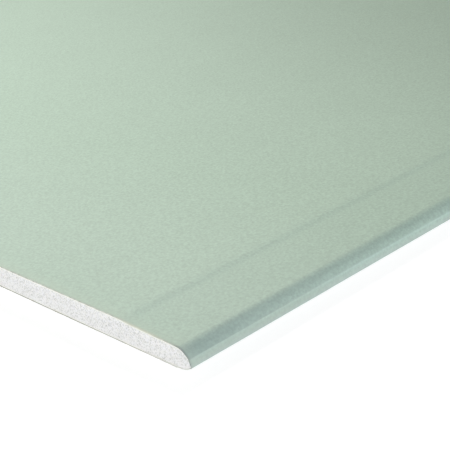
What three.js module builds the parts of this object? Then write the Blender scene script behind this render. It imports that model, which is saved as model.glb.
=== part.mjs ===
// Moisture-resistant gypsum board: one full sheet, lying flat with its green face up.
// It is a gypsum core between two papers. The face paper wraps round both long edges, which
// are tapered and rounded, and its flaps run under the board, where the back paper is glued
// over them. Both ends are cut square.
//
// Millimetres. X runs across the width, Y along the length and Z up. The origin is at the
// middle of the back face.

import * as THREE from "three";

// ---- Driving dimensions ----

const SHEET_WIDTH = 1250;
const SHEET_LENGTH = 2000;
const BOARD_THICKNESS = 12.5;        // back face to front face, with both papers

const FACE_PAPER_THICKNESS = 0.4;
const BACK_PAPER_THICKNESS = 0.35;
const FLAP_WIDTH = 32;               // long edge to the end of the folded-under face paper
const BACK_PAPER_INSET = 1;          // foot of the heel to the back paper's own edge

// The long edge. Widths are measured in from its tip, drops down from the front face, and
// heights up from the back face.
const TAPER_WIDTH = 44;              // to the middle of the shoulder where the taper starts
const SHOULDER_WIDTH = 13;           // the rolled step at that place
const SHOULDER_DROP = 0.6;
const TAPER_DEPTH = 1.3;             // where the taper meets the nose
const NOSE_WIDTH = 9;                // the large round between the taper and the crease
const CREASE_WIDTH = 1.2;            // the scored line where the paper turns down to the tip
const CREASE_HEIGHT = 6.8;
const CREASE_SLOPE = 55;             // degrees below level, where the nose meets the crease
const TIP_HEIGHT = 3.1;
const HEEL_WIDTH = 9;                // the low curve that rises from the flap to the tip
const HEEL_RUN = 3.6;                // where its slope at the tip would reach the flap

// Straight pieces that each curve is cut into.
const SHOULDER_STEPS = 12;
const NOSE_STEPS = 20;
const HEEL_STEPS = 14;

// ---- Finishes ----

const GREEN_PAPER = { color: 0xb9cdbb, roughness: 0.85, metalness: 0 };
const WHITE_GYPSUM = { color: 0xe9e9e6, roughness: 0.95, metalness: 0 };
const GREY_PAPER = { color: 0xb8b0a1, roughness: 0.9, metalness: 0 };

// ---- Section through the board: x across the width, y up ----

const tip = new THREE.Vector2(SHEET_WIDTH / 2, TIP_HEIGHT);
const heelFoot = new THREE.Vector2(tip.x - HEEL_WIDTH, BACK_PAPER_THICKNESS);
const flapEnd = new THREE.Vector2(tip.x - FLAP_WIDTH, BACK_PAPER_THICKNESS);

// The rolled step from the front face down to the taper, which then falls at an even slope.
function shoulderCurve(foot, taperSlope) {
  const middle = tip.x - TAPER_WIDTH;
  return new THREE.CubicBezierCurve(
    new THREE.Vector2(middle - SHOULDER_WIDTH / 2, BOARD_THICKNESS),
    new THREE.Vector2(middle, BOARD_THICKNESS),
    new THREE.Vector2(middle, foot.y + taperSlope * SHOULDER_WIDTH / 2),
    foot,
  );
}

// The nose leaves the taper along its slope, and reaches the crease at the crease's slope:
// its control point is where the two lines meet.
function noseCurve(start, taperSlope, crease) {
  const creaseSlope = Math.tan(THREE.MathUtils.degToRad(CREASE_SLOPE));
  const levelRun = crease.x - start.x;
  const run = (start.y - crease.y - creaseSlope * levelRun) / (taperSlope - creaseSlope);
  const control = new THREE.Vector2(start.x + run, start.y - taperSlope * run);
  return new THREE.QuadraticBezierCurve(start, control, crease);
}

// The green paper's outer line over the right long edge, from the front face to its flap's end.
function longEdgeLine() {
  const shoulderFoot = new THREE.Vector2(
    tip.x - TAPER_WIDTH + SHOULDER_WIDTH / 2,
    BOARD_THICKNESS - SHOULDER_DROP,
  );
  const noseStart = new THREE.Vector2(tip.x - NOSE_WIDTH, BOARD_THICKNESS - TAPER_DEPTH);
  const taperSlope = (shoulderFoot.y - noseStart.y) / (noseStart.x - shoulderFoot.x);
  const crease = new THREE.Vector2(tip.x - CREASE_WIDTH, CREASE_HEIGHT);
  const heelControl = new THREE.Vector2(tip.x - HEEL_RUN, heelFoot.y);
  const heel = new THREE.QuadraticBezierCurve(tip, heelControl, heelFoot);
  return [
    ...shoulderCurve(shoulderFoot, taperSlope).getPoints(SHOULDER_STEPS),
    ...noseCurve(noseStart, taperSlope, crease).getPoints(NOSE_STEPS),
    ...heel.getPoints(HEEL_STEPS),
    flapEnd,
  ];
}

// The right half of a section line, joined to its mirror image.
function bothSides(rightHalf) {
  const leftHalf = rightHalf.map(({ x, y }) => new THREE.Vector2(-x, y)).reverse();
  return [...leftHalf, ...rightHalf];
}

// A line moved square to itself into the board, with its corners mitred.
function movedInward(line, depth) {
  const headings = line.slice(1).map((point, i) => point.clone().sub(line[i]).normalize());
  return line.map((point, i) => {
    const arriving = headings[Math.max(i - 1, 0)];
    const leaving = headings[Math.min(i, headings.length - 1)];
    const along = arriving.clone().add(leaving).normalize();
    const inward = new THREE.Vector2(along.y, -along.x);
    return point.clone().addScaledVector(inward, depth / along.dot(leaving));
  });
}

const paperLine = bothSides(longEdgeLine());
const coreLine = movedInward(paperLine, FACE_PAPER_THICKNESS);

function facePaperSection() {
  return [...paperLine, ...coreLine.toReversed()];
}

// The core fills the face paper, and steps down to the back paper where each flap ends.
function gypsumCoreSection() {
  return [...coreLine, flapEnd, new THREE.Vector2(-flapEnd.x, flapEnd.y)];
}

function backPaperSection() {
  const edge = heelFoot.x - BACK_PAPER_INSET;
  return bothSides([
    new THREE.Vector2(edge, BACK_PAPER_THICKNESS),
    new THREE.Vector2(edge, 0),
  ]);
}

// ---- Solids ----

// A section run the whole length of the sheet, with both ends cut square.
function sheetPiece(name, section, finish) {
  const geometry = new THREE.ExtrudeGeometry(new THREE.Shape(section), {
    depth: SHEET_LENGTH,
    bevelEnabled: false,
  });
  const sectionUpright = new THREE.Matrix4().makeBasis(
    new THREE.Vector3(1, 0, 0),
    new THREE.Vector3(0, 0, 1),
    new THREE.Vector3(0, -1, 0),
  );
  geometry.applyMatrix4(sectionUpright);
  geometry.translate(0, SHEET_LENGTH / 2, 0);
  const mesh = new THREE.Mesh(geometry, new THREE.MeshStandardMaterial(finish));
  mesh.name = name;
  return mesh;
}

const drywallSheet = new THREE.Group();
drywallSheet.add(
  sheetPiece("gypsum_core", gypsumCoreSection(), WHITE_GYPSUM),
  sheetPiece("face_paper", facePaperSection(), GREEN_PAPER),
  sheetPiece("back_paper", backPaperSection(), GREY_PAPER),
);

export default drywallSheet;
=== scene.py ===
"""Moisture-resistant drywall sheet, lying flat: green face paper, white gypsum core and
grey-tan back paper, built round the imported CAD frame. Metres, +Z up.

Each piece takes its section from its own CAD node. What is added here is fine relief: the
broken grain of the two cut ends, the frayed rims of the papers, and the slack, the dents and
the faint groove in the face paper by the long edges.
"""

import math

import bmesh
import bpy
import numpy as np
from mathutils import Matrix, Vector, noise


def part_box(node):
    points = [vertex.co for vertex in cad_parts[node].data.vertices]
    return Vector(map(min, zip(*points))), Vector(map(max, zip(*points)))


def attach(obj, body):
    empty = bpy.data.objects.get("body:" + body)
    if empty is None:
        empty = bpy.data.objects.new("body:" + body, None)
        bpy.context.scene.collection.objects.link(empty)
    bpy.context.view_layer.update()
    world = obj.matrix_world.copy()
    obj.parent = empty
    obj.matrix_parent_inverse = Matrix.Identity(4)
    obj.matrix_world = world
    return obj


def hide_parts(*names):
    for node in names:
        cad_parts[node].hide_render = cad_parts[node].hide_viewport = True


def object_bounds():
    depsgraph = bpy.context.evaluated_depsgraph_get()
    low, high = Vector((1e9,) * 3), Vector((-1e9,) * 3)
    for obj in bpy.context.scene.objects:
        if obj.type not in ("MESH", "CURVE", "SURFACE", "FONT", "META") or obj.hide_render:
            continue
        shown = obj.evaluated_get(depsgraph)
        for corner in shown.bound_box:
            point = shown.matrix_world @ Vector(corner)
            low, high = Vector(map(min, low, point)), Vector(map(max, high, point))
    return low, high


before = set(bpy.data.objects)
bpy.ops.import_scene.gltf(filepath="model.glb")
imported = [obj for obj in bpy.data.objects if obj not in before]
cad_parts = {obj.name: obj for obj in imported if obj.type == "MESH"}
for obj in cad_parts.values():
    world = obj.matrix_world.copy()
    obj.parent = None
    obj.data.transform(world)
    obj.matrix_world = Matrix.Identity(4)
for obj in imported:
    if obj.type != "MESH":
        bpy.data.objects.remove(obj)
CAD_LOW, CAD_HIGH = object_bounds()

MM = 0.001


def mm(*numbers):
    """Several lengths in metres, from millimetres."""
    return tuple(number * MM for number in numbers)


# ---- Camera, placed from the sheet's near right corner ----

CAMERA_FROM_CORNER = (0.3129, -0.2499, 0.2367)
CAMERA_TURN = (66.849, 5.999, 45.842)       # degrees about X, Y and Z
CAMERA_LENS = 87.13                         # mm, on a sensor 36 mm wide
SENSOR_WIDTH = 36.0

# ---- Light ----

SKY_POWER = 4.0                             # how fast the glow at the horizon fades upwards
SKY_COOL = (5.28, 5.83, 6.56)               # its radiance at the horizon, towards +X
SKY_WARM = (5.94, 5.75, 4.56)               # and towards -X
LAMP_COLOUR = (0.96, 0.995, 0.97)
LAMP_RADIUS = 0.28
KEY_FROM_CORNER = (-3.87, 3.5, 2.5)
KEY_AIM_FROM_CORNER = (0.58, -1.81, 0.0)
KEY_POWER = 2560.0
KEY_BEAM = 29.1                             # degrees across the whole cone, as for each lamp
FILL_FROM_MIDDLE = (-1.62, -2.29, 4.5)      # evens the part that the photo doesn't show
FILL_AIM_FROM_MIDDLE = (-0.10, 0.78, 0.0)
FILL_POWER = 660.0
FILL_BEAM = 26.5
EDGE_FROM_MIDDLE = (1.18, -2.16, 1.4)       # evens the long edge beyond the photo's view
EDGE_AIM_FROM_MIDDLE = (0.66, -0.12, 0.0)
EDGE_POWER = 58.0
EDGE_BEAM = 18.2
FLOOR_HALF_WIDTH = 60.0
FLOOR_ALBEDO = 0.9
FLOOR_GLOW = 0.86                           # its brightness to the camera with no light on it
FLOOR_SEEN_ALBEDO = 0.40                    # and the share of the light that is added to that

# ---- Mesh fineness ----

SAME_PLACE = 1e-6                           # points closer than this are one point
PLACE_DIGITS = 7                            # decimal places that tell the frame's points apart
MIRROR_DIGITS = 6                           # and that match its two sides
CELL_SLACK = 1e-6                           # of a cell, so that whole cells aren't cut once more
SKIN_CELL = 48 * MM                         # across the flat faces
NEAR_STEP = 4 * MM                          # along the sheet, by the near end
NEAR_LENGTH = 400 * MM
FAR_STEP = 20 * MM
RIM_BAND = 1.2 * MM                         # between a fine cut edge and the coarser skin
PAPER_GRAIN = 0.6 * MM
PAPER_ROWS = 2
PAPER_SHARP_ANGLE = 10                      # degrees, past which two faces meet in a sharp edge
CORE_GRAIN = 0.35 * MM
CORE_GRAIN_AWAY = 1.3 * MM
CORE_NEAR_WIDTH = 220 * MM                  # the fine grain's reach from the near right corner
CORE_ROWS = 34
CORE_ROWS_AWAY = 10
CORE_SHARP_ANGLE = 60
HIDDEN_STATIONS = 21                        # along skins that lie flat or under the paper
STEP_LEAN = 0.05 * MM                       # given to the upright steps at the flaps' ends


# ---- Sections read from the frame ----

def end_loop(node):
    """The outline of a node's near cut end: (x, z) points, anticlockwise seen from in front."""
    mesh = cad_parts[node].data
    near = min(v.co.y for v in mesh.vertices)
    directed = set()
    for face in mesh.polygons:
        corners = [mesh.vertices[i].co for i in face.vertices]
        if max(abs(c.y - near) for c in corners) < SAME_PLACE:
            flat = [(round(c.x, PLACE_DIGITS), round(c.z, PLACE_DIGITS)) for c in corners]
            directed.update(zip(flat, flat[1:] + flat[:1]))
    following = {a: b for a, b in directed if (b, a) not in directed}
    loop = [min(following)]
    while following[loop[-1]] != loop[0]:
        loop.append(following[loop[-1]])
    return loop


def loop_part(loop, first, last):
    """The loop's points from one to another, going round it."""
    start = loop.index(first)
    turned = loop[start:] + loop[:start]
    return turned[:turned.index(last) + 1]


def face_paper_lines():
    """The face paper's inner and outer lines, from the left flap's end round to the right
    one's, with as many points each."""
    loop = end_loop("face_paper")
    low = [p for p in loop if p[1] < CAD_HIGH.z / 2]
    flap_ends = sorted(low, key=lambda p: round(abs(p[0]), MIRROR_DIGITS))[:4]
    left_outer, left_inner = sorted((p for p in flap_ends if p[0] < 0), key=lambda p: p[1])
    right_outer, right_inner = sorted((p for p in flap_ends if p[0] > 0), key=lambda p: p[1])
    inner = loop_part(loop, left_inner, right_inner)
    outer = loop_part(loop, right_outer, left_outer)[::-1]
    return np.array(inner), np.array(outer)


def back_paper_lines():
    """The back paper's bottom and top lines, both from left to right."""
    low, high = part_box("back_paper")
    return tuple(np.array([(low.x, z), (high.x, z)]) for z in (low.z, high.z))


def core_lines():
    """The core's bottom and top lines from left tip to right tip, with shared x places."""
    loop = end_loop("gypsum_core")
    left, right = min(loop), max(loop)
    bottom = np.array(loop_part(loop, left, right))
    top = np.array(loop_part(loop, right, left)[::-1])
    for i in range(1, len(bottom)):
        if bottom[i, 0] <= bottom[i - 1, 0]:
            bottom[i, 0] = bottom[i - 1, 0] + STEP_LEAN
    places = np.unique(np.concatenate([bottom[:, 0], top[:, 0]]))
    return tuple(np.stack([places, np.interp(places, *line.T)], 1) for line in (bottom, top))


def split(lines, cell_at):
    """Paired lines with each stretch cut into cells no longer than cell_at(x), and where the
    old points are among the new."""
    first, second = lines
    cuts = []
    for a, b in zip(first[:-1], first[1:]):
        cells = math.dist(a, b) / cell_at((a[0] + b[0]) / 2)
        cuts.append(max(1, math.ceil(cells - CELL_SLACK)))
    old = np.concatenate([[0], np.cumsum(cuts)])
    new = np.arange(old[-1] + 1)
    return [
        np.stack([np.interp(new, old, line[:, axis]) for axis in (0, 1)], 1)
        for line in (first, second)
    ], old


def even_stations():
    """A few places along the sheet, evenly spaced."""
    return np.linspace(CAD_LOW.y + RIM_BAND, CAD_HIGH.y - RIM_BAND, HIDDEN_STATIONS)


def close_stations():
    """Places along the sheet, close together by the near end."""
    low, high = CAD_LOW.y + RIM_BAND, CAD_HIGH.y - RIM_BAND
    middle = CAD_LOW.y + NEAR_LENGTH
    near = np.linspace(low, middle, round((middle - low) / NEAR_STEP) + 1)
    far = np.linspace(middle, high, round((high - middle) / FAR_STEP) + 1)
    return np.concatenate([near, far[1:]])


# ---- Solids between two paired lines ----

class Shell:
    """A mesh's points and faces, gathered piece by piece, with each face's material."""

    def __init__(self):
        self.points, self.faces, self.finishes = [], [], []

    def add_points(self, places):
        start = len(self.points)
        self.points.extend(map(tuple, places))
        return np.arange(start, len(self.points))

    def add_face(self, corners, finish):
        self.faces.append([int(c) for c in corners])
        self.finishes.append(finish)

    def add_grid(self, rows, finish):
        for low, high in zip(rows[:-1], rows[1:]):
            for i in range(len(low) - 1):
                self.add_face((low[i], low[i + 1], high[i + 1], high[i]), finish)

    def add_band(self, fine, at, coarse, finish):
        """Joins a fine row to a coarse one whose points are level with fine[at]."""
        for i in range(len(coarse) - 1):
            edge = fine[at[i]:at[i + 1] + 1]
            self.add_face([*edge, coarse[i + 1], coarse[i]], finish)

    def make(self, name, materials, sharp_angle):
        mesh = bpy.data.meshes.new(name)
        mesh.from_pydata(self.points, [], self.faces)
        mesh.polygons.foreach_set("material_index", self.finishes)
        mesh.polygons.foreach_set("use_smooth", [True] * len(self.faces))
        work = bmesh.new()
        work.from_mesh(mesh)
        bmesh.ops.remove_doubles(work, verts=work.verts, dist=SAME_PLACE)
        bmesh.ops.recalc_face_normals(work, faces=work.faces)
        work.to_mesh(mesh)
        work.free()
        mesh.set_sharp_from_angle(angle=math.radians(sharp_angle))
        for material in materials:
            mesh.materials.append(material)
        piece = bpy.data.objects.new(name, mesh)
        bpy.context.scene.collection.objects.link(piece)
        return piece


def cut_end(shell, lines, rows, place_of, finish):
    """One cut end, as rows of points from the first line to the second."""
    first, second = lines
    made = []
    for row in range(rows + 1):
        share = row / rows
        line = first + (second - first) * share
        made.append(shell.add_points([place_of(x, z, share) for x, z in line]))
    shell.add_grid(made, finish)
    return made


def sheet_solid(lines, stations, near, far, end_relief, skin_relief, finishes):
    """A closed shell between two paired lines, run the length of the sheet.

    The skins have a row of points at each of the stations. near and far are (cell_at, rows)
    for the two cut ends. end_relief(x, z, share) is how far a cut end lies inside the square
    cut, and skin_relief(x, z, y) how far the second line is moved towards the first. finishes
    are the materials of the cut ends, the first skin and the second skin."""
    shell = Shell()
    cut, first_skin, second_skin = finishes
    (first, second), _ = split(lines, lambda x: SKIN_CELL)

    rims = []
    # z + end gives each cut end a pattern of its own.
    for (cell_at, rows), end, inward in ((near, CAD_LOW.y, 1), (far, CAD_HIGH.y, -1)):
        fine, at = split((first, second), cell_at)
        made = cut_end(
            shell, fine, rows,
            lambda x, z, share: (x, end + inward * end_relief(x, z + end, share), z), cut)
        rims.append((made, at))

    first_rows, second_rows = [], []
    for y in stations:
        first_rows.append(shell.add_points([(x, y, z) for x, z in first]))
        moved = []
        for a, b in zip(first, second):
            depth = skin_relief(b[0], b[1], y)
            moved.append(b + (a - b) * (depth / math.dist(a, b)) if depth else b)
        second_rows.append(shell.add_points([(x, y, z) for x, z in moved]))
    shell.add_grid(first_rows, first_skin)
    shell.add_grid(second_rows, second_skin)
    for side in (0, -1):
        shell.add_grid(
            [[a[side], b[side]] for a, b in zip(first_rows, second_rows)], first_skin)
    for (made, at), station in zip(rims, (0, -1)):
        shell.add_band(made[0], at, first_rows[station], first_skin)
        shell.add_band(made[-1], at, second_rows[station], second_skin)
        for side in (0, -1):
            column = [row[side] for row in made]
            shell.add_face(
                [*column, second_rows[station][side], first_rows[station][side]], first_skin)
    return shell


# ---- Relief ----

FRACTAL_ROUGHNESS = 0.7
FRACTAL_LACUNARITY = 2.0
FRACTAL_OCTAVES = 3

CORE_SETBACK = 0.28 * MM                    # of the gypsum behind the square cut, on average
BROAD_DEPTH, BROAD_SIZE = mm(0.03, 14)
DRAG_DEPTH, DRAG_SIZE = mm(0.02, 1.2)
DRAG_SQUEEZE = 0.15                         # scales its heights, so the marks run upwards
GRAIN_DEPTH, GRAIN_SIZE = mm(0.09, 0.8)
PORE_DEPTH, PORE_SPACING = mm(0.30, 1.5)
PORE_RADIUS = 0.34                          # of the spacing

FRAY_SETBACK = 0.10 * MM
FINE_FRAY_DEPTH, FINE_FRAY_SIZE = mm(0.10, 0.9)
BROAD_FRAY_DEPTH, BROAD_FRAY_SIZE = mm(0.06, 5)

# The groove where the taper starts. A fade is the length from no depth at a cut end to the full
# depth.
GROOVE_FROM_TIP = 43 * MM
GROOVE_REACH = 5 * MM                       # to each side
GROOVE_DEPTH = 0.12 * MM
GROOVE_FADE = 12 * MM

# The long edge: its dents, and the hollow in the nose between the crease and the taper.
EDGE_REACH = 14 * MM                        # in from the tip
EDGE_DEPTH_LIMIT = 0.34 * MM
DENT_DEPTH, DENT_SIZE = mm(0.12, 38)
DENT_SQUEEZE_X, DENT_SQUEEZE_Z = 0.3, 3     # scale its places, so the dents run along the edge
DENT_OCTAVES = 2
DENT_FADE = 25 * MM
CREASE_HEIGHT = 6.8 * MM
NOSE_HEIGHT = 4.4 * MM                      # from the crease up to the taper
HOLLOW_DEPTH = 0.30 * MM                    # by the cut ends
HOLLOW_DEEPEST = 0.6                        # of the nose's height
HOLLOW_ROUNDNESS = 1.6
HOLLOW_FADE = 2.4 * MM
HOLLOW_AWAY = 0.4                           # of its depth, far from the cut ends
HOLLOW_END_REACH = 130 * MM


def fractal(x, y, z, size, octaves=FRACTAL_OCTAVES):
    """Smooth noise of about -1 to 1 with features of the given size. Over a cut end, y is a
    free number that gives each use its own pattern."""
    place = Vector((x, y, z)) / size
    return noise.fractal(place, FRACTAL_ROUGHNESS, FRACTAL_LACUNARITY, octaves)


def core_relief(x, z, share):
    """The broken gypsum: broad unevenness, upright drag marks, grain and pores."""
    broad = BROAD_DEPTH * fractal(x, 0.0, z, BROAD_SIZE)
    drag = DRAG_DEPTH * fractal(x, 3.0, z * DRAG_SQUEEZE, DRAG_SIZE)
    grain = GRAIN_DEPTH * fractal(x, 5.0, z, GRAIN_SIZE)
    to_pore = noise.voronoi(Vector((x, 7.0, z)) / PORE_SPACING)[0][0]
    pore = PORE_DEPTH * max(0.0, 1 - to_pore / PORE_RADIUS)
    return max(0.0, CORE_SETBACK + broad + drag + grain + pore)


def paper_end_relief(x, z, share):
    """The papers' cut edges: short frayed bites."""
    fine = FINE_FRAY_DEPTH * fractal(x, 11.0 + share, z, FINE_FRAY_SIZE)
    broad = BROAD_FRAY_DEPTH * fractal(x, 13.0, z, BROAD_FRAY_SIZE)
    return max(0.0, FRAY_SETBACK + fine + broad)


def groove_depth(from_tip, from_end):
    """The faint groove where the taper starts."""
    off_groove = abs(from_tip - GROOVE_FROM_TIP) / GROOVE_REACH
    if off_groove >= 1:
        return 0.0
    fade = min(1.0, from_end / GROOVE_FADE)
    return GROOVE_DEPTH * fade * math.cos(math.pi / 2 * off_groove) ** 2


def dent_depth(x, z, y, on_edge, from_end):
    """Slow dents round the long edge. on_edge is 0 at their inner border and 1 at the tip."""
    fade = min(1.0, from_end / DENT_FADE)
    dent = 0.5 + 0.5 * fractal(x * DENT_SQUEEZE_X, y, z * DENT_SQUEEZE_Z, DENT_SIZE, DENT_OCTAVES)
    return DENT_DEPTH * fade * math.sqrt(on_edge) * min(1.0, max(0.0, dent))


def hollow_depth(z, from_end):
    """The slack paper's hollow in the nose, shallower away from the cut ends."""
    above_crease = (z - CREASE_HEIGHT) / NOSE_HEIGHT
    if not 0 < above_crease < 1:
        return 0.0
    if above_crease < HOLLOW_DEEPEST:
        hollow = 1 - (1 - above_crease / HOLLOW_DEEPEST) ** HOLLOW_ROUNDNESS
    else:
        past_deepest = (above_crease - HOLLOW_DEEPEST) / (1 - HOLLOW_DEEPEST)
        hollow = math.cos(math.pi / 2 * past_deepest) ** 2
    nearness = math.exp(-((from_end / HOLLOW_END_REACH) ** 2))
    slack = HOLLOW_AWAY + (1 - HOLLOW_AWAY) * nearness
    return HOLLOW_DEPTH * slack * min(1.0, from_end / HOLLOW_FADE) * hollow


def face_skin_relief(x, z, y):
    """The face paper's groove where the taper starts, and the dents and the hollow of its long
    edges. All of them fade out at the cut ends."""
    from_end = min(y - CAD_LOW.y, CAD_HIGH.y - y)
    from_tip = CAD_HIGH.x - abs(x)
    on_edge = max(0.0, 1 - from_tip / EDGE_REACH)
    if on_edge == 0.0:
        return groove_depth(from_tip, from_end)
    depth = dent_depth(x, z, y, on_edge, from_end) + hollow_depth(z, from_end)
    return min(depth, EDGE_DEPTH_LIMIT)


def no_relief(x, z, y):
    return 0.0


# ---- Materials ----

class Nodes:
    """Shorthand for making the node tree of one material or world."""

    def __init__(self, tree):
        self.tree = tree
        tree.nodes.clear()

    def add(self, kind, settings=None, **inputs):
        node = self.tree.nodes.new(kind)
        for name, value in (settings or {}).items():
            setattr(node, name, value)
        for name, value in inputs.items():
            self.feed(node.inputs[name.replace("_", " ")], value)
        return node

    def feed(self, socket, value):
        if isinstance(value, bpy.types.NodeSocket):
            self.tree.links.new(value, socket)
        else:
            socket.default_value = value

    def math(self, operation, *values):
        node = self.add("ShaderNodeMath", {"operation": operation})
        for socket, value in zip(node.inputs, values):
            self.feed(socket, value)
        return node.outputs[0]

    def times(self, first, *others):
        """All the values multiplied together."""
        product = first
        for value in others:
            product = self.math("MULTIPLY", product, value)
        return product

    def plus(self, first, *others):
        """All the values added up."""
        total = first
        for value in others:
            total = self.math("ADD", total, value)
        return total

    def mix(self, factor, a, b):
        node = self.add("ShaderNodeMix", {"data_type": "RGBA"})
        for name, value in (("Factor_Float", factor), ("A_Color", a), ("B_Color", b)):
            socket = next(s for s in node.inputs if s.identifier == name)
            self.feed(socket, (*value, 1.0) if isinstance(value, tuple) else value)
        return next(s for s in node.outputs if s.identifier == "Result_Color")

    def cover(self, colour, mask, share, paint):
        """The colour, with this share of it hidden by paint where the mask is 1."""
        return self.mix(self.times(mask, share), colour, paint)

    def level(self, value, low, high):
        """value from low to high becomes 0 to 1, clamped."""
        node = self.add("ShaderNodeMapRange", {"clamp": True})
        for name, number in (("Value", value), ("From Min", low), ("From Max", high)):
            self.feed(node.inputs[name], number)
        return node.outputs[0]

    def band(self, value, low, full_low, full_high, high):
        """0 outside low to high, and 1 from full_low to full_high."""
        rising = self.level(value, low, full_low)
        return self.times(rising, self.level(value, high, full_high))

    def places(self, scale=(1.0, 1.0, 1.0)):
        """The piece's own coordinates in metres, stretched."""
        coordinates = self.add("ShaderNodeTexCoord").outputs["Object"]
        mapping = self.add("ShaderNodeMapping", Vector=coordinates)
        mapping.inputs["Scale"].default_value = scale
        return mapping.outputs[0]

    def parts(self, places):
        """The X, Y and Z of the places."""
        return self.add("ShaderNodeSeparateXYZ", Vector=places).outputs

    def noise(self, places, size, detail, roughness):
        node = self.add("ShaderNodeTexNoise", Vector=places, Scale=1 / size, Detail=detail,
                        Roughness=roughness)
        return node.outputs["Fac"]

    def cells(self, places, size):
        node = self.add("ShaderNodeTexVoronoi", Vector=places, Scale=1 / size)
        return node.outputs["Distance"]


def matte_material(name, paint, roughness, specular):
    """A matte surface. paint(nodes) gives its colour and its height in metres."""
    material = bpy.data.materials.new(name)
    material.use_nodes = True
    nodes = Nodes(material.node_tree)
    colour, height = paint(nodes)
    bump = nodes.add("ShaderNodeBump", Distance=1.0, Strength=1.0, Height=height)
    shader = nodes.add("ShaderNodeBsdfPrincipled", Base_Color=colour, Roughness=roughness,
                       Specular_IOR_Level=specular, Normal=bump.outputs[0])
    nodes.add("ShaderNodeOutputMaterial", Surface=shader.outputs[0])
    return material


# Colours are linear red, green and blue.

GREEN_DEEP = (0.438, 0.539, 0.447)
GREEN_PALE = (0.535, 0.659, 0.547)
# Painted highlight for the crease.
GREEN_CREASE_HIGHLIGHT = (0.62, 0.72, 0.65)
GREEN_SCUFFED = (0.57, 0.59, 0.535)
GREEN_SOILED = (0.38, 0.42, 0.28)
GREEN_NOSE_SHADE = (0.20, 0.29, 0.26)
# Painted shade for the nose by the cut ends.
GREEN_DUSTY = (0.57, 0.63, 0.54)
GYPSUM_DUST = (0.76, 0.74, 0.80)
GYPSUM_COOL = (0.915, 0.896, 0.944)
GYPSUM_WARM = (0.926, 0.899, 0.909)
GYPSUM_CREAM = (0.92, 0.905, 0.86)
GYPSUM_SHADE = (0.635, 0.622, 0.628)
# Painted light for the foot of the cut end, against the shade that falls there.
GYPSUM_PAINTED_LIGHT = (0.935, 0.912, 0.938)
CUT_TAN = (0.44, 0.425, 0.385)
CUT_GREY = (0.31, 0.31, 0.29)
# The cut paper round the nose: its crushed edge, darkened further with painted shade.
CUT_CRUSHED_AND_SHADED = (0.21, 0.24, 0.22)
CUT_PALE = (0.835, 0.82, 0.80)
CUT_CHALKY = (0.66, 0.66, 0.56)
BACK_TAN = (0.479, 0.434, 0.356)
BACK_GREY = (0.36, 0.33, 0.28)

# A noise is its size, detail and roughness. Levels are where a value counts as 0 and as 1, and a
# band is its four borders from outside to outside. A cover is the share of the paint below that
# wear hides where it is at its full.

BENT_FROM_TIP = mm(14, 6)                   # where the paper is bent round a long edge
TAPER_FROM_TIP = mm(50, 42, 24, 16)         # and where the board is pressed thinner
MARGIN_WIDTH = 1.3 * MM                     # of the dense gypsum under the papers

# The green paper.
MOTTLE = (1.5 * MM, 2.0, 0.6)
FIBRES = (0.7 * MM, 2.0, 0.6)
FIBRE_SCALE = (1.0, 0.35, 1.0)              # draws them out along the sheet
CLOUD = (60 * MM, 1.0, 0.5)
MOTTLE_SHARE, FIBRE_SHARE, CLOUD_SHARE = 0.6, 0.25, 0.05
GREEN_LEVELS = (0.33, 0.57)
MOTTLE_HEIGHT, FIBRE_HEIGHT = mm(0.05, 0.012)

# Its wear, with painted highlight and painted shade among it: bands of height round the long
# edge, and levels in from a cut end.
# A painted highlight along the crease.
CREASE_HIGHLIGHT_BAND, CREASE_HIGHLIGHT_COVER = mm(5.6, 6.6, 6.8, 7.4), 0.30
SCUFF_BAND, SCUFF_COVER = mm(2.4, 3.2, 3.6, 6.2), 0.5
SOIL_BAND, SOIL_FROM_END, SOIL_COVER = mm(3.0, 4.4, 6.8, 7.4), mm(110, 60), 0.22
# Painted shade on the nose by the cut ends.
NOSE_SHADE_BAND, NOSE_SHADE_FROM_END, NOSE_SHADE_COVER = mm(6.0, 7.0, 9.0, 10.8), mm(50, 4), 0.26
DUST_FROM_END, DUST_COVER = mm(150, 30), 0.09
RUB_FROM_END, RUB_COVER = mm(8, 0), 0.4
RIM_FROM_END = mm(1.4, 0.4)
FRAY_LEVELS, FRAY_COVER = (0.35, 0.6), 0.4  # of the mottle, on the rim
CHALKY_RIM_COVER = 0.6
# The rim round the nose: crushed paper, darkened further with painted shade.
NOSE_LEVELS, NOSE_COVER = mm(3.0, 8.0), 0.36

# The gypsum. Its painted light towards the foot and its chalky margin are set by height.
GYPSUM_GRAIN = (0.62 * MM, 1.3, 0.6)
GYPSUM_DRAG = (1.1 * MM, 2.0, 0.5)
GYPSUM_DRAG_SCALE = (1.0, 1.0, 0.15)        # draws the marks out upwards
GYPSUM_GRAIN_SHARE, GYPSUM_DRAG_SHARE = 0.94, 0.06
GYPSUM_HUE, HUE_LEVELS = (1.6 * MM, 1.0, 0.5), (0.35, 0.65)
GYPSUM_PORE_SIZE, PORE_LEVELS = 1.5 * MM, (0.0, 0.35)
SHADE_LEVELS = (0.54, 0.34)
PAINTED_LIGHT_LEVELS, PALE_GRAIN_LEVELS = mm(7.0, 1.0), (0.36, 0.54)
CHALKY_MARGIN_LEVELS, CHALKY_MARGIN_COVER = mm(8.0, 9.5), 0.4
GYPSUM_GRAIN_HEIGHT, GYPSUM_PORE_HEIGHT = mm(0.10, 0.05)

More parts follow.
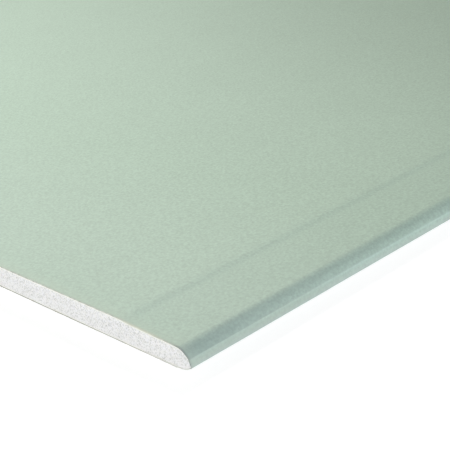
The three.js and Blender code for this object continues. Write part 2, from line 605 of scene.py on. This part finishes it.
# The papers' cut edges. The chalk and the flap are set by height.
CUT_BRUISE, CUT_BRUISE_LEVELS = (1.6 * MM, 3.0, 0.6), (0.44, 0.58)
ABOVE_BACK_LEVELS = mm(0.34, 0.38)          # from the back paper's edge to the face paper's
CUT_RUB, CUT_RUB_LEVELS, CUT_RUB_COVER = (4 * MM, 2.0, 0.5), (0.46, 0.60), 0.6
CHALKY_CUT_LEVELS, CHALKY_CUT_COVER = mm(9.0, 10.0), 0.7
FLAP_LEVELS, FLAP_COVER = mm(3.4, 2.2), 0.85
CUT_DUST_FROM_TIP, CUT_DUST_COVER = mm(100, 60), 0.5
CUT_FIBRES, CUT_FIBRE_HEIGHT = (0.25 * MM, 2.0, 0.5), 0.04 * MM

# The back paper.
BACK_FIBRES, BACK_FIBRE_LEVELS = (0.9 * MM, 3.0, 0.65), (0.35, 0.65)
BACK_FIBRE_SCALE = (1.0, 0.25, 1.0)         # draws them out along the sheet
BACK_FIBRE_HEIGHT = 0.04 * MM
SPECK_SPACING, SPECK_LEVELS = 3.2 * MM, (0.07, 0.12)


def inwards(border, distances):
    """Places on one axis, from distances in from the border."""
    return [border - distance for distance in distances]


def bent(nodes, across):
    """0 on the flat of the sheet and 1 where the paper is bent round a long edge."""
    return nodes.level(across, *inwards(CAD_HIGH.x, BENT_FROM_TIP))


def tapered(nodes, across):
    """1 along the taper of a long edge, where the board is pressed thinner."""
    return nodes.band(across, *inwards(CAD_HIGH.x, TAPER_FROM_TIP))


def by_end(nodes, along, distances):
    """0 away from a cut end and 1 by it, from two distances in from the end."""
    return nodes.level(along, *inwards(CAD_HIGH.y, distances))


def paint_green(nodes):
    """Coated green paper: a fine mottle, faint fibres along the sheet and a trace of cloud.

    Round the long edge it has a painted highlight along the crease and is scuffed below it.
    Towards the cut ends it is soiled and dusty and has painted shade on the nose, and its rims
    are frayed tan, chalky along the taper and dark round the nose, where crushed paper is
    darkened further with painted shade."""
    places = nodes.places()
    x, y, up = nodes.parts(places)
    across, along = nodes.math("ABSOLUTE", x), nodes.math("ABSOLUTE", y)
    mottle = nodes.noise(places, *MOTTLE)
    fibres = nodes.noise(nodes.places(FIBRE_SCALE), *FIBRES)
    cloud = nodes.noise(places, *CLOUD)
    tone = nodes.plus(nodes.times(fibres, FIBRE_SHARE), nodes.times(cloud, CLOUD_SHARE),
                      nodes.times(mottle, MOTTLE_SHARE))
    colour = nodes.mix(nodes.level(tone, *GREEN_LEVELS), GREEN_DEEP, GREEN_PALE)

    # A painted highlight along the crease.
    colour = nodes.cover(colour, nodes.band(up, *CREASE_HIGHLIGHT_BAND), CREASE_HIGHLIGHT_COVER, GREEN_CREASE_HIGHLIGHT)
    colour = nodes.cover(colour, nodes.band(up, *SCUFF_BAND), SCUFF_COVER, GREEN_SCUFFED)
    soil = nodes.times(by_end(nodes, along, SOIL_FROM_END), nodes.band(up, *SOIL_BAND))
    colour = nodes.cover(colour, soil, SOIL_COVER, GREEN_SOILED)
    # Painted shade on the nose by the cut ends.
    darkening = nodes.times(by_end(nodes, along, NOSE_SHADE_FROM_END), nodes.band(up, *NOSE_SHADE_BAND))
    colour = nodes.cover(colour, darkening, NOSE_SHADE_COVER, GREEN_NOSE_SHADE)
    colour = nodes.cover(colour, by_end(nodes, along, DUST_FROM_END), DUST_COVER, GYPSUM_DUST)
    colour = nodes.cover(colour, by_end(nodes, along, RUB_FROM_END), RUB_COVER, GREEN_DUSTY)

    rim = by_end(nodes, along, RIM_FROM_END)
    fray = nodes.times(rim, nodes.level(mottle, *FRAY_LEVELS))
    colour = nodes.cover(colour, fray, FRAY_COVER, CUT_TAN)
    chalky = nodes.times(rim, tapered(nodes, across))
    colour = nodes.cover(colour, chalky, CHALKY_RIM_COVER, CUT_CHALKY)
    # The rim round the nose: crushed paper, darkened further with painted shade.
    nose = nodes.times(bent(nodes, across), nodes.level(up, *NOSE_LEVELS))
    colour = nodes.cover(colour, nodes.times(rim, nose), NOSE_COVER, CUT_CRUSHED_AND_SHADED)
    height = nodes.plus(nodes.times(mottle, MOTTLE_HEIGHT), nodes.times(fibres, FIBRE_HEIGHT))
    return colour, height


def paint_gypsum(nodes):
    """White gypsum: grains and drag marks with some shade between them, a slight change of hue
    from grain to grain, its pale grains painted lighter towards the foot as painted light against
    the shade that falls there, and a dense cream margin that is chalky along the taper."""
    places = nodes.places()
    x, _, up = nodes.parts(places)
    across = nodes.math("ABSOLUTE", x)
    grain = nodes.noise(places, *GYPSUM_GRAIN)
    drag = nodes.noise(nodes.places(GYPSUM_DRAG_SCALE), *GYPSUM_DRAG)
    pores = nodes.level(nodes.cells(places, GYPSUM_PORE_SIZE), *PORE_LEVELS)
    tone = nodes.plus(nodes.times(grain, GYPSUM_GRAIN_SHARE),
                      nodes.times(drag, GYPSUM_DRAG_SHARE))
    hue = nodes.level(nodes.noise(places, *GYPSUM_HUE), *HUE_LEVELS)
    colour = nodes.mix(hue, GYPSUM_COOL, GYPSUM_WARM)
    colour = nodes.mix(nodes.level(tone, *SHADE_LEVELS), colour, GYPSUM_SHADE)
    # Painted light: pale grains lightened towards the foot, where shade falls.
    foot = nodes.times(nodes.level(up, *PAINTED_LIGHT_LEVELS), nodes.level(tone, *PALE_GRAIN_LEVELS))
    colour = nodes.mix(foot, colour, GYPSUM_PAINTED_LIGHT)
    margin = nodes.add("ShaderNodeAttribute", {"attribute_name": "margin"}).outputs["Fac"]
    colour = nodes.mix(margin, colour, GYPSUM_CREAM)
    chalky = nodes.times(tapered(nodes, across), nodes.level(up, *CHALKY_MARGIN_LEVELS))
    colour = nodes.cover(colour, nodes.times(margin, chalky), CHALKY_MARGIN_COVER, CUT_CHALKY)
    height = nodes.plus(nodes.times(grain, GYPSUM_GRAIN_HEIGHT),
                        nodes.times(pores, GYPSUM_PORE_HEIGHT))
    return colour, height


def paint_cut_paper(nodes):
    """The cut edge of a paper: tan fibre, grey where it is bruised and pale where it is rubbed.
    It is darkest where it is bent round the nose, as crushed paper darkened further with painted
    shade, chalky along the taper, pale with gypsum in the flap under the board, and dusty in the
    back paper near the long edges."""
    places = nodes.places()
    x, _, up = nodes.parts(places)
    across = nodes.math("ABSOLUTE", x)
    above_back = nodes.level(up, *ABOVE_BACK_LEVELS)
    darkening = nodes.level(nodes.noise(places, *CUT_BRUISE), *CUT_BRUISE_LEVELS)
    colour = nodes.mix(darkening, CUT_TAN, CUT_GREY)
    rub = nodes.times(nodes.level(nodes.noise(places, *CUT_RUB), *CUT_RUB_LEVELS), above_back)
    colour = nodes.cover(colour, rub, CUT_RUB_COVER, CUT_PALE)
    # Round the nose: crushed paper, darkened further with painted shade.
    colour = nodes.mix(bent(nodes, across), colour, CUT_CRUSHED_AND_SHADED)
    chalky = nodes.times(tapered(nodes, across), nodes.level(up, *CHALKY_CUT_LEVELS))
    colour = nodes.cover(colour, chalky, CHALKY_CUT_COVER, CUT_CHALKY)
    flap = nodes.times(above_back, nodes.level(up, *FLAP_LEVELS))
    colour = nodes.cover(colour, flap, FLAP_COVER, CUT_PALE)
    dust = nodes.times(nodes.level(up, *reversed(ABOVE_BACK_LEVELS)),
                       nodes.level(across, *inwards(CAD_HIGH.x, CUT_DUST_FROM_TIP)))
    colour = nodes.cover(colour, dust, CUT_DUST_COVER, CUT_PALE)
    height = nodes.times(nodes.noise(places, *CUT_FIBRES), CUT_FIBRE_HEIGHT)
    return colour, height


def paint_back(nodes):
    """Grey-tan recycled paper with fibres and specks."""
    fibres = nodes.noise(nodes.places(BACK_FIBRE_SCALE), *BACK_FIBRES)
    specks = nodes.level(nodes.cells(nodes.places(), SPECK_SPACING), *SPECK_LEVELS)
    colour = nodes.mix(nodes.level(fibres, *BACK_FIBRE_LEVELS), BACK_GREY, BACK_TAN)
    colour = nodes.mix(specks, BACK_GREY, colour)
    return colour, nodes.times(fibres, BACK_FIBRE_HEIGHT)


# ---- Pieces ----

def core_cell(x):
    """The core's grain on the near end: fine by the corner, wider away from it."""
    return CORE_GRAIN if x > CAD_HIGH.x - CORE_NEAR_WIDTH else CORE_GRAIN_AWAY


def mark_margin(piece, top_line):
    """Stores how near each point of the core is to a paper, as the attribute margin."""
    mesh = piece.data
    places = np.empty(len(mesh.vertices) * 3, np.float32)
    mesh.vertices.foreach_get("co", places)
    x, _, z = places.reshape(-1, 3).T
    gap = np.minimum(np.interp(x, *top_line.T) - z, z - CAD_LOW.z)
    margin = mesh.attributes.new("margin", "FLOAT", "POINT")
    margin.data.foreach_set("value", np.clip(1 - gap / MARGIN_WIDTH, 0, 1).astype(np.float32))


def build_core():
    lines = core_lines()
    near = (core_cell, CORE_ROWS)
    far = (lambda x: CORE_GRAIN_AWAY, CORE_ROWS_AWAY)
    shell = sheet_solid(
        lines, even_stations(), near, far, core_relief, no_relief, finishes=(0, 0, 0))
    gypsum = matte_material("gypsum", paint_gypsum, roughness=0.95, specular=0.1)
    piece = shell.make("gypsum_core_cut", [gypsum], CORE_SHARP_ANGLE)
    mark_margin(piece, lines[1])
    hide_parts("gypsum_core")
    return piece


def paper_shell(lines, stations, skin_relief, finishes):
    """A paper's shell, with both of its cut ends frayed alike."""
    end = (lambda x: PAPER_GRAIN, PAPER_ROWS)
    return sheet_solid(lines, stations, end, end, paper_end_relief, skin_relief, finishes)


def build_face_paper(cut_paper):
    shell = paper_shell(
        face_paper_lines(), close_stations(), face_skin_relief, finishes=(1, 1, 0))
    green = matte_material("green_paper", paint_green, roughness=0.85, specular=0.1)
    piece = shell.make("green_face_paper", [green, cut_paper], PAPER_SHARP_ANGLE)
    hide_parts("face_paper")
    return piece


def build_back_paper(cut_paper):
    shell = paper_shell(back_paper_lines(), even_stations(), no_relief, finishes=(1, 0, 0))
    grey = matte_material("grey_paper", paint_back, roughness=0.9, specular=0.2)
    piece = shell.make("grey_back_paper", [grey, cut_paper], PAPER_SHARP_ANGLE)
    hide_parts("back_paper")
    return piece


# ---- Stage ----

def two_faced(nodes, lit, seen):
    """seen for camera, mirror and glass rays, and lit for all the other rays."""
    rays = nodes.add("ShaderNodeLightPath").outputs
    mirrored = nodes.math("MAXIMUM", rays["Is Glossy Ray"], rays["Is Transmission Ray"])
    direct = nodes.math("MAXIMUM", rays["Is Camera Ray"], mirrored)
    node = nodes.add("ShaderNodeMixShader")
    for socket, value in zip(node.inputs, (direct, lit, seen)):
        nodes.feed(socket, value)
    return node.outputs[0]


def build_floor():
    half = FLOOR_HALF_WIDTH
    mesh = bpy.data.meshes.new("floor")
    corners = [(-half, -half, 0), (half, -half, 0), (half, half, 0), (-half, half, 0)]
    mesh.from_pydata(corners, [], [(0, 1, 2, 3)])
    material = bpy.data.materials.new("floor")
    material.use_nodes = True
    nodes = Nodes(material.node_tree)
    lit = nodes.add("ShaderNodeBsdfDiffuse", Color=(*[FLOOR_ALBEDO] * 3, 1)).outputs[0]
    glow = nodes.add("ShaderNodeEmission", Color=(1, 1, 1, 1), Strength=FLOOR_GLOW)
    shade = nodes.add("ShaderNodeBsdfDiffuse", Color=(*[FLOOR_SEEN_ALBEDO] * 3, 1))
    seen = nodes.add("ShaderNodeAddShader")
    for socket, value in zip(seen.inputs, (glow.outputs[0], shade.outputs[0])):
        nodes.feed(socket, value)
    surface = two_faced(nodes, lit, seen.outputs[0])
    nodes.add("ShaderNodeOutputMaterial", Surface=surface)
    mesh.materials.append(material)
    floor = bpy.data.objects.new("floor", mesh)
    bpy.context.scene.collection.objects.link(floor)


def build_sky():
    """A dim studio with a bright band all round the horizon, a little cooler on one side. The
    camera sees it plain white."""
    world = bpy.data.worlds.new("studio")
    bpy.context.scene.world = world
    world.use_nodes = True
    nodes = Nodes(world.node_tree)
    direction = nodes.add("ShaderNodeTexCoord").outputs["Generated"]
    across, _, up = nodes.parts(direction)
    fall = nodes.math("POWER", nodes.level(up, 1.0, 0.0), SKY_POWER)
    colour = nodes.mix(nodes.level(across, -1.0, 1.0), SKY_WARM, SKY_COOL)
    light = nodes.add("ShaderNodeBackground", Color=colour, Strength=fall).outputs[0]
    white = nodes.add("ShaderNodeBackground", Color=(1, 1, 1, 1), Strength=1.0).outputs[0]
    nodes.add("ShaderNodeOutputWorld", Surface=two_faced(nodes, light, white))


def add_spot(name, origin, from_origin, aim_from_origin, power, beam):
    """A soft lamp whose beam fades out over its whole width."""
    place = origin + Vector(from_origin)
    target = origin + Vector(aim_from_origin)
    lamp = bpy.data.lights.new(name, "SPOT")
    lamp.energy = power
    lamp.color = LAMP_COLOUR
    lamp.spot_size = math.radians(beam)
    lamp.spot_blend = 1.0
    lamp.shadow_soft_size = LAMP_RADIUS
    holder = bpy.data.objects.new(name, lamp)
    holder.location = place
    holder.rotation_euler = (target - place).to_track_quat("-Z", "Y").to_euler()
    bpy.context.scene.collection.objects.link(holder)


def build_camera(corner):
    data = bpy.data.cameras.new("camera")
    data.lens = CAMERA_LENS
    data.sensor_width = SENSOR_WIDTH
    camera = bpy.data.objects.new("camera", data)
    camera.location = corner + Vector(CAMERA_FROM_CORNER)
    camera.rotation_euler = [math.radians(turn) for turn in CAMERA_TURN]
    bpy.context.scene.collection.objects.link(camera)
    bpy.context.scene.camera = camera


near_corner = Vector((CAD_HIGH.x, CAD_LOW.y, CAD_LOW.z))
build_camera(near_corner)
cut_paper = matte_material("cut_paper", paint_cut_paper, roughness=0.95, specular=0.1)
for piece in (build_core(), build_face_paper(cut_paper), build_back_paper(cut_paper)):
    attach(piece, "root")
build_floor()
build_sky()
middle = Vector((0.0, 0.0, CAD_LOW.z))
add_spot("key", near_corner, KEY_FROM_CORNER, KEY_AIM_FROM_CORNER, KEY_POWER, KEY_BEAM)
add_spot("fill", middle, FILL_FROM_MIDDLE, FILL_AIM_FROM_MIDDLE, FILL_POWER, FILL_BEAM)
add_spot("edge", middle, EDGE_FROM_MIDDLE, EDGE_AIM_FROM_MIDDLE, EDGE_POWER, EDGE_BEAM)
bpy.context.scene.view_settings.view_transform = "Standard"
